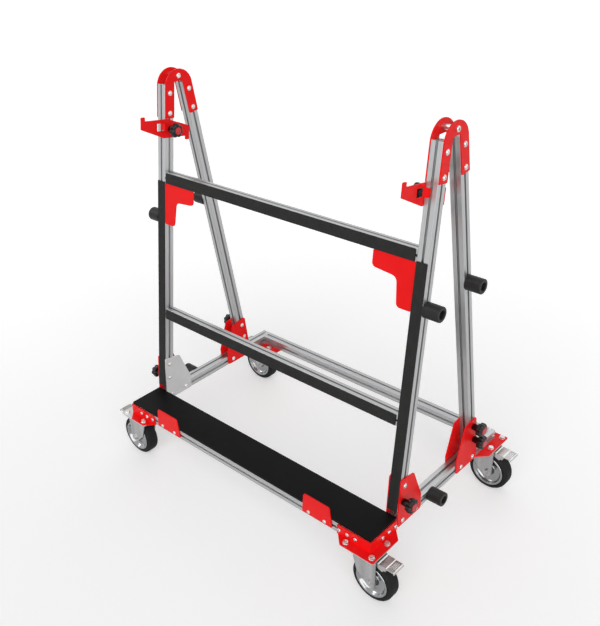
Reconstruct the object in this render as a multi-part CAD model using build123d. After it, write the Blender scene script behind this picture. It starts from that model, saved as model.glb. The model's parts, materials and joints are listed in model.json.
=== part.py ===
from build123d import *
from math import asin, atan2, cos, degrees, hypot, radians, sin, tan
import os

# Panel trolley: slotted aluminium profiles form a base on four braked swivel casters and an A-shaped
# frame that tall panels lean against. Millimetres, +Z up, +X to the right, +Y from the loading side
# to the back. The origin lies on the floor, under the middle of the base.

# Slotted profile
PROFILE = 40.0
PROFILE_CORNER = 2.0
PROFILE_BORE = 6.8
SLOT_LIP = 4.5
SLOT_CAVITY = 20.0
SLOT_SHOULDER = 2.0
SLOT_FLOOR = 9.2
SLOT_DEPTH = 11.9
SLOT_CLEARANCE = 0.1

# Frame: base, leaning legs and cross rails, with the rises measured from the foot along the leg
BASE_WIDTH = 1200.0
BASE_DEPTH = 750.0
FOOT_SETBACK = 158.5
FOOT_GAP = 23.0
LEG_LENGTH = 1193.0
LEG_HEAD = 7.0
MIDDLE_RAIL_RISE = 322.0
UPPER_RAIL_RISE = 862.0

# Sheet steel of the plates, brackets, gussets and hooks
SHEET = 4.0

# Board that the panels stand on
BOARD_THICKNESS = 8.0
BOARD_CLEARANCE = 2.0

# Rubber pads clipped into the front slots
PAD_THICKNESS = 3.0
PAD_MARGIN = 0.5
PAD_STEM_CLEARANCE = 0.2
PAD_BARB_WIDTH = 12.0
PAD_BARB_HEIGHT = 2.0
RAIL_PAD_INSET = 6.0
PAD_RAIL_LAP = 4.0

# Button-head screws with nuts in the slots
SCREW_D = 8.0
SCREW_HEAD_D = 14.0
SCREW_HEAD_HEIGHT = 4.4
SCREW_FLANGE_D = 17.5
SCREW_FLANGE_HEIGHT = 1.4
SOCKET_WIDTH = 5.0
SOCKET_DEPTH = 2.6
HOLE_CLEARANCE = 0.5
THREAD_CLEARANCE = 0.05
NUT_LENGTH = 16.0
NUT_HEIGHT = 5.0
NUT_CLEARANCE = 2.0

# Bolt heads: turned diameter as a share of the width, and the cone's half angle in degrees
HEX_TURN = 0.95
HEX_TURN_ANGLE = 60.0

# Screws in the ends of the cross rails
END_SCREW_GRIP = 20.0
END_SCREW_HEAD_HEIGHT = 4.0
END_SCREW_CLEARANCE = 0.6
END_BORE_CLEARANCE = 0.1

# Foot plates
FOOT_PLATE_RISE = 124.0
FOOT_PLATE_TOP = 71.0
FOOT_PLATE_PROUD = 4.0
FOOT_PLATE_SETBACK = 2.5
FOOT_PLATE_RAKE = 2.0
FOOT_PLATE_LENGTH = 128.0
FOOT_PLATE_SHOULDER = 22.0
FOOT_PLATE_SKIRT = 2.0
FOOT_PLATE_ROUND = 9.0
FOOT_BOLT_RISE = 36.0
FOOT_BOLT_PITCH = 60.0
FOOT_RAIL_BOLT_INSET = 24.0
FOOT_RAIL_BOLT_PITCH = 75.0

# Arch plates at the top
ARCH_RADIUS = 61.5
ARCH_LEG = 110.0
ARCH_NOTCH_RISE = 19.0
ARCH_ROUND = 5.0
ARCH_BOLT_EDGE = 18.0
ARCH_BOLT_PITCH = 70.0
APEX_RISE = 38.0
APEX_BOLT_D = 10.0
APEX_HEAD_D = 18.0
APEX_HEAD_HEIGHT = 6.0
APEX_SOCKET_WIDTH = 8.0
APEX_SOCKET_DEPTH = 5.0
APEX_NUT_WIDTH = 17.0
APEX_NUT_HEIGHT = 8.0
APEX_SPACER_D = 17.0

# L-shaped gussets under the upper cross rail
GUSSET_ARM = 155.0
GUSSET_END = 53.0
GUSSET_THROAT = 62.0
GUSSET_THROAT_ROUND = 20.0
GUSSET_END_ROUND = 14.0
GUSSET_OUTER_ROUND = 5.0
GUSSET_FLANGE = 34.0
GUSSET_FLANGE_INSET = 12.0
GUSSET_BOLT_NEAR = 44.0
GUSSET_BOLT_FAR = 122.0

# Corner plates over the casters
BRACKET_LEDGE = 36.0
BRACKET_FLANGE_TOP = 0.5
BRACKET_CLEARANCE = 3.0
BRACKET_REAR_CUT = 45.0
BRACKET_ROUND = 4.0
BRACKET_SCREW_FIRST = 57.0
BRACKET_SCREW_EDGE = 10.0
BRACKET_SCREW_COUNT = 3
REAR_SCREW_EDGE = 12.0
REAR_SCREW_PITCH = 30.0

# Panel stops on the front rail
STOP_GAP = 22.5
STOP_BOTTOM = 130.0
STOP_TOP = 112.0
STOP_HEIGHT = 80.0
STOP_SKIRT = 8.0
STOP_ROUND = 10.0
STOP_FOOT_ROUND = 3.0
STOP_SCREW_PITCH = 70.0

# Strap pegs
PEG_D = 50.0
PEG_BORE = 29.0
PEG_LENGTH = 55.0
PEG_FLOOR = 10.0
PEG_ROUND = 3.0
PEG_RISE = 703.0
PEG_RAIL_Y = -46.0

# Panel hooks that slide on the uprights; u runs across the upright to the back, v runs up along it
HOOK_STOP_GAP = 1.5
HOOK_FRONT = 129.0
HOOK_BACK = 90.0
HOOK_TOP = 36.0
HOOK_BOTTOM = 31.0
HOOK_TOOTH = 17.0
HOOK_TOOTH_RISE = 14.0
HOOK_FRONT_LOW = 7.0
HOOK_BACK_HIGH = 6.0
HOOK_BEND_TOP = -10.0
HOOK_BEND_BOTTOM = -27.0
HOOK_ROUND = 3.0
HOOK_WINDOW_LENGTH = 38.0
HOOK_WINDOW_LOW = -4.0
HOOK_WINDOW_HEIGHT = 27.0
HOOK_TAB_LENGTH = 20.0
SLIDE_CLEARANCE = 0.2

# Star knobs
KNOB_D = 52.0
KNOB_LOBES = 7
KNOB_LOBE_D = 13.0
KNOB_BODY_D = 43.0
KNOB_HEAD_HEIGHT = 24.0
KNOB_STEM_HEIGHT = 22.0
KNOB_STEM_FOOT_D = 22.0
KNOB_STEM_TOP_D = 27.0
KNOB_CAP_D = 26.0
KNOB_CAP_HEIGHT = 3.0
KNOB_CAP_SINK = 1.5
KNOB_CHAMFER = 4.0

# Casters
WHEEL_D = 160.0
WHEEL_WIDTH = 48.0
TYRE_SHOULDER = 12.0
TYRE_BEAD = 5.0
RIM_D = 124.0
RIM_WIDTH = 40.0
RIM_LIP_PROUD = 1.5
RIM_LIP_WIDTH = 6.0
RIM_LIP_BEVEL = 1.0
RIM_FLOOR_D = 76.0
WEB_THICKNESS = 24.0
HUB_D = 42.0
HUB_TAPER = 2.0
AXLE_D = 12.0
AXLE_HEAD_WIDTH = 19.0
AXLE_HEAD_HEIGHT = 7.5
TRAIL = 38.0
RUNNING_CLEARANCE = 0.05
FACE_CLEARANCE = 0.3
WHEEL_CLEARANCE = 4.0
FORK_SHEET = 4.0
FORK_GAP = 4.0
FORK_FRONT = 30.0
FORK_FRONT_ROUND = 10.0
FORK_BELLY_X = -4.0
FORK_BELLY_RISE = 32.0
FORK_BELLY_D = 28.0
FORK_BOSS_D = 40.0
CROWN_REAR = 38.0
HEAD_HEIGHT = 24.0
HEAD_RING_D = 76.0
HEAD_RING_HEIGHT = 13.0
HEAD_CUP_D = 70.0
KING_PIN_D = 12.0
KING_PIN_HEAD_D = 20.0
KING_PIN_HEAD_HEIGHT = 4.0
CASTER_PLATE_X = 135.0
CASTER_PLATE_Y = 110.0
CASTER_PLATE_SHEET = 4.0
CASTER_PLATE_ROUND = 8.0
CASTER_INSET_X = 32.5
CASTER_INSET_Y = 20.0
CASTER_BOLT_D = 10.0
CASTER_BOLT_X = 105.0
CASTER_BOLT_Y = 80.0
CASTER_BOLT_HEAD_WIDTH = 17.0
CASTER_BOLT_HEAD_HEIGHT = 6.4
CASTER_BOLT_FLANGE_D = 21.0
CASTER_BOLT_FLANGE_HEIGHT = 2.0
CASTER_NUT_HEIGHT = 8.0
CASTER_BOLT_TAIL = 2.0

# Brake pedals on the forks; the travel is in degrees
PEDAL_PIN_D = 6.0
PEDAL_PIN_X = 54.0
PEDAL_EAR_D = 16.0
PEDAL_BARREL_D = 12.0
PEDAL_SIDE_GAP = 2.0
PEDAL_SHEET = 3.0
PEDAL_REACH = 129.0
PEDAL_LIFT = 4.5
PEDAL_STEP_REACH = 97.0
PEDAL_STEP = 2.0
PEDAL_LIP = 6.5
PEDAL_BEND = 3.0
PEDAL_JOGGLE_REACH = 66.0
PEDAL_JOGGLE = 3.0
PEDAL_SLOT_COUNT = 4
PEDAL_SLOT_WIDTH = 2.6
PEDAL_SLOT_PITCH = 5.6
PEDAL_SLOT_MARGIN = 6.0
PEDAL_WALL = 2.5
PEDAL_WALL_REACH = 82.0
PEDAL_WALL_DEPTH = 23.0
PEDAL_WALL_END_REACH = 94.0
PEDAL_WALL_END_DEPTH = 10.0
SHOE_NEAR = 17.0
SHOE_LENGTH = 20.0
SHOE_WIDTH = 40.0
SHOE_DEPTH = 22.5
BRAKE_TRAVEL = 10.0
BRAKE_GAP = 1.2

# Heights and places that follow from the sizes above
CROWN_BOTTOM = WHEEL_D + WHEEL_CLEARANCE
CROWN_TOP = CROWN_BOTTOM + FORK_SHEET
CASTER_PLATE_BOTTOM = CROWN_TOP + HEAD_HEIGHT
CASTER_HEIGHT = CASTER_PLATE_BOTTOM + CASTER_PLATE_SHEET
RAIL_BOTTOM = CASTER_HEIGHT + SHEET
RAIL_CENTRE = RAIL_BOTTOM + PROFILE / 2
RAIL_TOP = RAIL_BOTTOM + PROFILE
OUTER_X = BASE_WIDTH / 2
INNER_X = OUTER_X - PROFILE
SIDE_X = OUTER_X - PROFILE / 2
END_Y = BASE_DEPTH / 2
RAIL_LENGTH = 2 * INNER_X
CASTER_X = OUTER_X - CASTER_INSET_X
CASTER_Y = END_Y - CASTER_INSET_Y
SLOT_WIDTH = SCREW_D + 2 * SLOT_CLEARANCE
NUT_BORE_D = SCREW_D + 2 * THREAD_CLEARANCE
SCREW_HOLE_D = SCREW_D + 2 * HOLE_CLEARANCE

# The legs' outer faces run tangent to the arch, which sets their lean
FOOT_Y = FOOT_SETBACK - END_Y
FOOT_Z = RAIL_TOP + FOOT_GAP
ARCH_LEVEL = LEG_LENGTH - LEG_HEAD
ARCH_OFFSET = ARCH_RADIUS - PROFILE / 2
LEAN_RAD = asin(-FOOT_Y / hypot(ARCH_OFFSET, ARCH_LEVEL)) - atan2(ARCH_OFFSET, ARCH_LEVEL)
LEAN = degrees(LEAN_RAD)
ARCH_Z = FOOT_Z + ARCH_LEVEL * cos(LEAN_RAD) - ARCH_OFFSET * sin(LEAN_RAD)
APEX_Z = ARCH_Z + APEX_RISE
FRONT_LEG = Location((0, FOOT_Y, FOOT_Z), (-LEAN, 0, 0))
REAR_LEG = Location((0, -FOOT_Y, FOOT_Z), (LEAN, 0, 0))

# The hook hangs just below the arch plate; the knob sits at its origin
HOOK_RISE = ARCH_LEVEL - ARCH_LEG - HOOK_STOP_GAP - HOOK_TOP

# The foot plate's front edge bounds the board and the front corner plates
LEG_FACE_Y = FOOT_Y - PROFILE / 2 / cos(LEAN_RAD) - FOOT_GAP * tan(LEAN_RAD)
FOOT_PLATE_Y = LEG_FACE_Y + FOOT_PLATE_SETBACK
BRACKET_REACH = FOOT_PLATE_Y + END_Y - BRACKET_CLEARANCE
STOP_X = OUTER_X - BRACKET_REACH - STOP_GAP - STOP_BOTTOM / 2

SIDES = {"left": -1, "right": 1}
ENDS = {"front": -1, "rear": 1}
ALONG_X = (1, 0, 0)
ALONG_Y = (0, 1, 0)
ALONG_Z = (0, 0, 1)
DOWN = (0, 0, -1)
TO_FRONT = (0, -1, 0)
ON_BASE = (Align.CENTER, Align.CENTER, Align.MIN)
HANGING = (Align.CENTER, Align.CENTER, Align.MAX)


def write(name, *solids):
    """Save the solids of one named piece."""
    export_step(Compound(children=list(solids)), f"parts/{name}.step")


def seat(point, along, outward):
    """Place on the mouth of a slot: its x runs along the slot and its z points out of it."""
    return Plane(origin=point, x_dir=along, z_dir=outward).location


def leg_seat(leg, side, outward, rise):
    """Place on the inner or outer slot of a leg, at a height along it."""
    face_x = OUTER_X if outward == side else INNER_X
    return leg * seat((side * face_x, 0, rise), ALONG_Z, (outward, 0, 0))


def hexagon(width, height):
    """Upright six-sided prism of a given width across its flats."""
    return extrude(RegularPolygon(width / 2, 6, major_radius=False), height)


def bolt_head(width, height):
    """Hexagon with its upper corners turned off."""
    top = HEX_TURN * width / 2
    turned = Cone(top + height * tan(radians(HEX_TURN_ANGLE)), top, height, align=ON_BASE)
    return hexagon(width, height) & turned


def disc(diameter, height):
    """Upright cylinder that stands on its origin."""
    return Cylinder(diameter / 2, height, align=ON_BASE)


def outline(points, rounds):
    """Closed face with a rounding for each corner."""
    return make_face(FilletPolyline(*points, radius=rounds, close=True))


def side_plate(face, x, side):
    """Sheet in the YZ plane, drawn as (y, z), that grows outwards from x on its side."""
    start = x if side > 0 else -x - SHEET
    return Pos(start, 0, 0) * extrude(Plane.YZ * face, SHEET)


def drilled(plate, seats):
    """Plate with a screw hole at each seat on the slots behind it."""
    hole = Cylinder(SCREW_HOLE_D / 2, 4 * SHEET)
    return plate - [place * hole for place in seats]


# Slotted profile and its nuts and screws


def cavity_half_width(depth):
    """Half the width of a slot's cavity at a depth below the profile's face."""
    below = depth - SLOT_LIP - SLOT_SHOULDER
    taper = (SLOT_CAVITY - SLOT_FLOOR) / 2 / (SLOT_DEPTH - SLOT_LIP - SLOT_SHOULDER)
    return SLOT_CAVITY / 2 - max(below, 0) * taper


def profile(length):
    """Slotted bar that stands on its origin."""
    face = PROFILE / 2
    half = [
        (SLOT_WIDTH / 2, face + SLOT_LIP),
        (SLOT_WIDTH / 2, face - SLOT_LIP),
        (SLOT_CAVITY / 2, face - SLOT_LIP),
        (SLOT_CAVITY / 2, face - SLOT_LIP - SLOT_SHOULDER),
        (SLOT_FLOOR / 2, face - SLOT_DEPTH),
    ]
    other_half = [(-x, y) for x, y in reversed(half)]
    slot = make_face(Polyline(*half, *other_half, close=True))
    section = RectangleRounded(PROFILE, PROFILE, PROFILE_CORNER) - Circle(PROFILE_BORE / 2)
    section -= [Rot(0, 0, quarter * 90) * slot for quarter in range(4)]
    return extrude(section, length)


def cross_rail():
    """Slotted bar along X between the two sides."""
    return Pos(-RAIL_LENGTH / 2, 0, 0) * Rot(0, 90, 0) * profile(RAIL_LENGTH)


def slot_nut(play=0.0):
    """Nut that bears on the underside of a slot's lips, or hangs below them by some play."""
    top = -SLOT_LIP - play
    waist = -SLOT_LIP - SLOT_SHOULDER - play
    bottom = top - NUT_HEIGHT
    wide = SLOT_CAVITY / 2 - NUT_CLEARANCE
    narrow = cavity_half_width(-bottom) - NUT_CLEARANCE
    right = [(wide, top), (wide, waist), (narrow, bottom)]
    left = [(-y, z) for y, z in reversed(right)]
    section = make_face(Polyline(*right, *left, close=True))
    bar = extrude(Plane.YZ * section, NUT_LENGTH / 2, both=True)
    return bar - Cylinder(NUT_BORE_D / 2, 4 * SLOT_DEPTH)


def screw_shank(thickness):
    """Threaded shank from the outside of a sheet down to the bottom of the slot nut."""
    length = thickness + SLOT_LIP + NUT_HEIGHT
    return Pos(0, 0, thickness) * Cylinder(SCREW_D / 2, length, align=HANGING)


def screw(thickness):
    """Button-head screw that holds a sheet of some thickness on a slot."""
    head = disc(SCREW_HEAD_D, SCREW_HEAD_HEIGHT)
    head = fillet(head.faces().sort_by(Axis.Z)[-1].edges(), SCREW_HEAD_HEIGHT * 0.6)
    head -= Pos(0, 0, SCREW_HEAD_HEIGHT - SOCKET_DEPTH) * hexagon(SOCKET_WIDTH, SCREW_HEAD_HEIGHT)
    return Pos(0, 0, thickness) * head + screw_shank(thickness)


def flange_screw(thickness):
    """Screw with a wide flange under its head."""
    return screw(thickness) + Pos(0, 0, thickness) * disc(SCREW_FLANGE_D, SCREW_FLANGE_HEIGHT)


def end_screw():
    """Screw with its head under the lips of a slot and its shank in the bore of the rail outside."""
    head_d = 2 * (cavity_half_width(SLOT_LIP + END_SCREW_HEAD_HEIGHT) - END_SCREW_CLEARANCE)
    head = Pos(0, 0, -SLOT_LIP) * Cylinder(head_d / 2, END_SCREW_HEAD_HEIGHT, align=HANGING)
    shank_d = PROFILE_BORE - 2 * END_BORE_CLEARANCE
    return head + Pos(0, 0, -SLOT_LIP) * disc(shank_d, SLOT_LIP + END_SCREW_GRIP)


# Frame pieces


def side_rail(side):
    """Base rail along Y, as long as the base is deep."""
    return Pos(side * SIDE_X, END_Y, RAIL_CENTRE) * Rot(90, 0, 0) * profile(BASE_DEPTH)


def pad(length, stem_length):
    """Rubber strip along Z on a front face, with a barbed stem in the slot behind it."""
    width = PROFILE - 2 * PAD_MARGIN
    stem_width = SLOT_WIDTH - 2 * PAD_STEM_CLEARANCE
    behind = (Align.CENTER, Align.MIN, Align.CENTER)
    strip = Pos(0, -PAD_THICKNESS, 0) * Box(width, PAD_THICKNESS, length, align=behind)
    stem = Box(stem_width, SLOT_LIP, stem_length, align=behind)
    barb = make_face(
        Polyline(
            (-PAD_BARB_WIDTH / 2, SLOT_LIP),
            (PAD_BARB_WIDTH / 2, SLOT_LIP),
            (stem_width / 2, SLOT_LIP + PAD_BARB_HEIGHT),
            (-stem_width / 2, SLOT_LIP + PAD_BARB_HEIGHT),
            close=True,
        )
    )
    return Pos(0, -PROFILE / 2, 0) * (strip + stem + extrude(barb, stem_length / 2, both=True))


def upright_pad(side):
    """Pad on the front of an upright, from its foot upwards."""
    length = UPPER_RAIL_RISE - PROFILE / 2 + PAD_RAIL_LAP
    return FRONT_LEG * Pos(side * SIDE_X, 0, length / 2) * pad(length, length)


def rail_pad(rise):
    """Pad on the front of a cross rail; its stem shows a little at both ends."""
    strip_length = RAIL_LENGTH - 2 * RAIL_PAD_INSET
    return FRONT_LEG * Pos(0, 0, rise) * Rot(0, 90, 0) * pad(strip_length, RAIL_LENGTH)


def board():
    """Board on the front of the base, as far back as the foot plates."""
    depth = FOOT_PLATE_Y + END_Y - BOARD_CLEARANCE
    return Pos(0, -END_Y + depth / 2, RAIL_TOP) * Box(BASE_WIDTH, depth, BOARD_THICKNESS, align=ON_BASE)


# Plates


def leg_point(across, rise):
    """World (y, z) of a point on the front leg: across it to the back, and up along it."""
    y = FOOT_Y + across * cos(LEAN_RAD) + rise * sin(LEAN_RAD)
    z = FOOT_Z - across * sin(LEAN_RAD) + rise * cos(LEAN_RAD)
    return y, z


def foot_plate_face():
    """Outline of a front foot plate in (y, z)."""
    heel_y = FOOT_PLATE_Y + FOOT_PLATE_RAKE
    skirt_z = RAIL_BOTTOM + FOOT_PLATE_SKIRT
    edge = -PROFILE / 2 - FOOT_PLATE_PROUD
    points = [
        (FOOT_PLATE_Y, RAIL_TOP),
        (heel_y, skirt_z),
        (heel_y + FOOT_PLATE_LENGTH, skirt_z),
        (heel_y + FOOT_PLATE_LENGTH, RAIL_TOP + FOOT_PLATE_SHOULDER),
        leg_point(edge + FOOT_PLATE_TOP, FOOT_PLATE_RISE),
        leg_point(edge, FOOT_PLATE_RISE),
    ]
    return outline(points, FOOT_PLATE_ROUND)


def foot_plate_seats(side, outward, end):
    """Seats behind one foot plate: two on the leg, lower first, then two on the side rail."""
    leg = FRONT_LEG if end < 0 else REAR_LEG
    face_x = OUTER_X if outward == side else INNER_X
    first_y = FOOT_PLATE_Y + FOOT_PLATE_RAKE + FOOT_RAIL_BOLT_INSET
    rises = [FOOT_BOLT_RISE, FOOT_BOLT_RISE + FOOT_BOLT_PITCH]
    rail_ys = [first_y, first_y + FOOT_RAIL_BOLT_PITCH]
    on_leg = [leg_seat(leg, side, outward, rise) for rise in rises]
    on_rail = [seat((side * face_x, -end * y, RAIL_CENTRE), ALONG_Y, (outward, 0, 0)) for y in rail_ys]
    return on_leg + on_rail


def foot_plate(side, outward, end):
    """Foot plate on the outer or inner face of one side of the frame."""
    x = OUTER_X if outward == side else INNER_X - SHEET
    plate = side_plate(foot_plate_face(), x, side)
    if end > 0:
        plate = mirror(plate, about=Plane.XZ)
    return drilled(plate, foot_plate_seats(side, outward, end))


def arch_seats(side, outward):
    """Seats behind one arch plate: two on the upright and two on the rear leg."""
    low = ARCH_LEVEL - ARCH_LEG + ARCH_BOLT_EDGE
    rises = [low, low + ARCH_BOLT_PITCH]
    return [leg_seat(leg, side, outward, rise) for leg in (FRONT_LEG, REAR_LEG) for rise in rises]


def arch_face():
    """Outline of an arch plate in (y, z): a band that runs up one leg, over and down the other."""
    half = PROFILE / 2
    toe = leg_point(-half, ARCH_LEVEL - ARCH_LEG)
    heel = leg_point(half, ARCH_LEVEL - ARCH_LEG)
    tangent = leg_point(-half, ARCH_LEVEL)
    notch_z = ARCH_Z + ARCH_NOTCH_RISE
    notch_y = heel[0] + (notch_z - heel[1]) * tan(LEAN_RAD)
    edges = [
        Line(toe, tangent),
        ThreePointArc(tangent, (0, ARCH_Z + ARCH_RADIUS), (-tangent[0], tangent[1])),
        Line((-tangent[0], tangent[1]), (-toe[0], toe[1])),
        Line((-toe[0], toe[1]), (-heel[0], heel[1])),
        Line((-heel[0], heel[1]), (-notch_y, notch_z)),
        Line((-notch_y, notch_z), (notch_y, notch_z)),
        Line((notch_y, notch_z), heel),
        Line(heel, toe),
    ]
    face = make_face(edges)
    return fillet(face.vertices().group_by(Axis.Y)[0], ARCH_ROUND)


def arch_plate(side, outward):
    """Arch plate on the outer or inner faces of one side of the frame."""
    x = OUTER_X if outward == side else INNER_X - SHEET
    plate = side_plate(arch_face(), x, side)
    bolt_hole = Pos(side * SIDE_X, 0, APEX_Z) * Rot(0, 90, 0) * Cylinder(
        APEX_BOLT_D / 2 + HOLE_CLEARANCE, PROFILE + 4 * SHEET
    )
    return drilled(plate, arch_seats(side, outward)) - bolt_hole


def apex_place(side):
    """Place on the right-hand face of one side's arch plates, at the tie bolt."""
    x = side * SIDE_X + PROFILE / 2 + SHEET
    return Plane(origin=(x, 0, APEX_Z), x_dir=ALONG_Y, z_dir=ALONG_X).location


def apex_bolt(side):
    """Tie bolt through both arch plates of one side."""
    grip = PROFILE + 2 * SHEET
    head = disc(APEX_HEAD_D, APEX_HEAD_HEIGHT)
    head = chamfer(head.faces().sort_by(Axis.Z)[-1].edges(), APEX_HEAD_HEIGHT / 4)
    head -= Pos(0, 0, APEX_HEAD_HEIGHT - APEX_SOCKET_DEPTH) * hexagon(APEX_SOCKET_WIDTH, APEX_HEAD_HEIGHT)
    shank = Cylinder(APEX_BOLT_D / 2, grip + APEX_NUT_HEIGHT, align=HANGING)
    return apex_place(side) * (head + shank)


def apex_nut(side):
    """Nut on the left-hand end of the tie bolt."""
    grip = PROFILE + 2 * SHEET
    nut = hexagon(APEX_NUT_WIDTH, APEX_NUT_HEIGHT)
    nut -= Cylinder(APEX_BOLT_D / 2 + THREAD_CLEARANCE, 4 * APEX_NUT_HEIGHT)
    return apex_place(side) * Pos(0, 0, -grip - APEX_NUT_HEIGHT) * nut


def apex_spacer(side):
    """Sleeve round the tie bolt that keeps the two arch plates apart."""
    sleeve = disc(APEX_SPACER_D, PROFILE) - Cylinder(APEX_BOLT_D / 2 + SLOT_CLEARANCE, 4 * PROFILE)
    return apex_place(side) * Pos(0, 0, -SHEET - PROFILE) * sleeve


def gusset_seats(side):
    """Seats behind a gusset's flanges: two under the upper rail and two on the upright."""
    rail_bottom = UPPER_RAIL_RISE - PROFILE / 2
    seats = []
    for reach in (GUSSET_BOLT_NEAR, GUSSET_BOLT_FAR):
        under_rail = seat((side * (INNER_X - reach), 0, rail_bottom), ALONG_X, DOWN)
        seats.append(FRONT_LEG * under_rail)
        seats.append(leg_seat(FRONT_LEG, side, -side, rail_bottom - reach))
    return seats


def gusset(side):
    """L-shaped sheet flush with the front of the frame, with flanges folded back onto the slots."""
    front_y = -PROFILE / 2
    points = [
        (0, 0),
        (-GUSSET_ARM, 0),
        (-GUSSET_ARM, -GUSSET_END),
        (-GUSSET_THROAT, -GUSSET_THROAT),
        (-GUSSET_END, -GUSSET_ARM),
        (0, -GUSSET_ARM),
    ]
    arm_end = [GUSSET_OUTER_ROUND, GUSSET_END_ROUND]
    rounds = [0, *arm_end, GUSSET_THROAT_ROUND, *reversed(arm_end)]
    face = Pos(0, front_y + SHEET, 0) * extrude(Plane.XZ * outline(points, rounds), SHEET)
    flange_length = GUSSET_ARM - 2 * GUSSET_FLANGE_INSET
    flange_middle = -GUSSET_ARM / 2
    rail_flange = Box(flange_length, GUSSET_FLANGE, SHEET, align=(Align.CENTER, Align.MIN, Align.MAX))
    leg_flange = Box(SHEET, GUSSET_FLANGE, flange_length, align=(Align.MAX, Align.MIN, Align.CENTER))
    shape = face
    shape += Pos(flange_middle, front_y, 0) * rail_flange
    shape += Pos(0, front_y, flange_middle) * leg_flange
    if side < 0:
        shape = mirror(shape, about=Plane.YZ)
    corner = Pos(side * INNER_X, 0, UPPER_RAIL_RISE - PROFILE / 2)
    return drilled(FRONT_LEG * corner * shape, gusset_seats(side))


def bracket_screw_reaches():
    """Distances of the flange screws from the corner of the base."""
    last = BRACKET_REACH - BRACKET_SCREW_EDGE
    step = (last - BRACKET_SCREW_FIRST) / (BRACKET_SCREW_COUNT - 1)
    return [BRACKET_SCREW_FIRST + i * step for i in range(BRACKET_SCREW_COUNT)]


def bracket_seats(side, end):
    """Seats behind a corner plate: on both outer faces in front, from below at the rear."""
    seats = []
    if end < 0:
        for reach in bracket_screw_reaches():
            seats.append(seat((side * (OUTER_X - reach), -END_Y, RAIL_CENTRE), ALONG_X, TO_FRONT))
            seats.append(seat((side * OUTER_X, reach - END_Y, RAIL_CENTRE), ALONG_Y, (side, 0, 0)))
        return seats
    far = BRACKET_REACH - REAR_SCREW_EDGE
    for reach in (far - REAR_SCREW_PITCH, far):
        seats.append(seat((side * SIDE_X, END_Y - reach, RAIL_BOTTOM), ALONG_Y, DOWN))
    seats.append(seat((side * (OUTER_X - far), END_Y - PROFILE / 2, RAIL_BOTTOM), ALONG_X, DOWN))
    return seats


def caster_bolt_places(side, end):
    """Places of one caster's bolts on top of its corner plate."""
    xs = [side * CASTER_X + step * CASTER_BOLT_X / 2 for step in (-1, 1)]
    ys = [end * CASTER_Y + step * CASTER_BOLT_Y / 2 for step in (-1, 1)]
    return [Pos(x, y, RAIL_BOTTOM) for x in xs for y in ys]


def bracket_plate(end):
    """Flat plate drawn inwards from a corner of the base, with a ledge outside the rails."""
    ledge_end = BRACKET_REACH - BRACKET_LEDGE
    inner_corner = [(BRACKET_REACH, BRACKET_REACH)]
    if end > 0:
        cut = BRACKET_REACH - BRACKET_REAR_CUT
        inner_corner = [(BRACKET_REACH, cut), (cut, BRACKET_REACH)]
    points = [
        (-BRACKET_LEDGE, -BRACKET_LEDGE),
        (ledge_end, -BRACKET_LEDGE),
        (BRACKET_REACH, 0),
        *inner_corner,
        (0, BRACKET_REACH),
        (-BRACKET_LEDGE, ledge_end),
    ]
    return extrude(outline(points, BRACKET_ROUND), -SHEET)


def wing_region():
    """Block round the part of a front corner plate that lies outside the side rail's flange."""
    far = BRACKET_REACH + BRACKET_LEDGE
    points = [(-SHEET, -SHEET), (-SHEET, far), (-far, far), (-far, -far), (far - 2 * SHEET, -far)]
    return extrude(make_face(Polyline(*points, close=True)), -SHEET)


def bolted_plate(shape, side, end):
    """Plate moved to its corner of the base and drilled for the caster's bolts."""
    shape = Pos(side * OUTER_X, end * END_Y, RAIL_BOTTOM) * shape
    bolt_hole = Cylinder(CASTER_BOLT_D / 2 + HOLE_CLEARANCE, 4 * SHEET)
    return shape - [place * bolt_hole for place in caster_bolt_places(side, end)]


def front_left_wing():
    """Separate wing outside the left rail, which completes the front left corner plate."""
    return bolted_plate(bracket_plate(-1) & wing_region(), -1, -1)


def corner_bracket(side, end):
    """Plate under a corner of the base; the front ones have two flanges, the left one no wing."""
    shape = bracket_plate(end)
    if end < 0:
        height = PROFILE - BRACKET_FLANGE_TOP
        length = BRACKET_REACH + SHEET
        flange = Box(length, SHEET, height, align=(Align.MIN, Align.MAX, Align.MIN))
        far_edges = flange.edges().filter_by(Axis.Y).group_by(Axis.X)[-1]
        flange = fillet(far_edges.sort_by(Axis.Z)[-1], BRACKET_ROUND)
        flange = Pos(-SHEET, 0, 0) * flange
        shape += flange
        shape += mirror(flange, about=Plane((0, 0, 0), z_dir=(1, -1, 0)))
    if side < 0 and end < 0:
        shape -= wing_region()
    if side > 0:
        shape = mirror(shape, about=Plane.YZ)
    if end > 0:
        shape = mirror(shape, about=Plane.XZ)
    return drilled(bolted_plate(shape, side, end), bracket_seats(side, end))


def stop_seats(side):
    """Seats behind one panel stop."""
    xs = [side * STOP_X + step * STOP_SCREW_PITCH / 2 for step in (-1, 1)]
    return [seat((x, -END_Y, RAIL_CENTRE), ALONG_X, TO_FRONT) for x in xs]


def panel_stop(side):
    """Upright plate on the front rail that stands above the board and keeps panels on it."""
    low = RAIL_BOTTOM + STOP_SKIRT
    points = [
        (-STOP_BOTTOM / 2, low),
        (STOP_BOTTOM / 2, low),
        (STOP_TOP / 2, low + STOP_HEIGHT),
        (-STOP_TOP / 2, low + STOP_HEIGHT),
    ]
    face = outline(points, [STOP_FOOT_ROUND, STOP_FOOT_ROUND, STOP_ROUND, STOP_ROUND])
    plate = Pos(side * STOP_X, -END_Y, 0) * extrude(Plane.XZ * face, SHEET)
    return drilled(plate, stop_seats(side))


# Strap pegs


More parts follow.
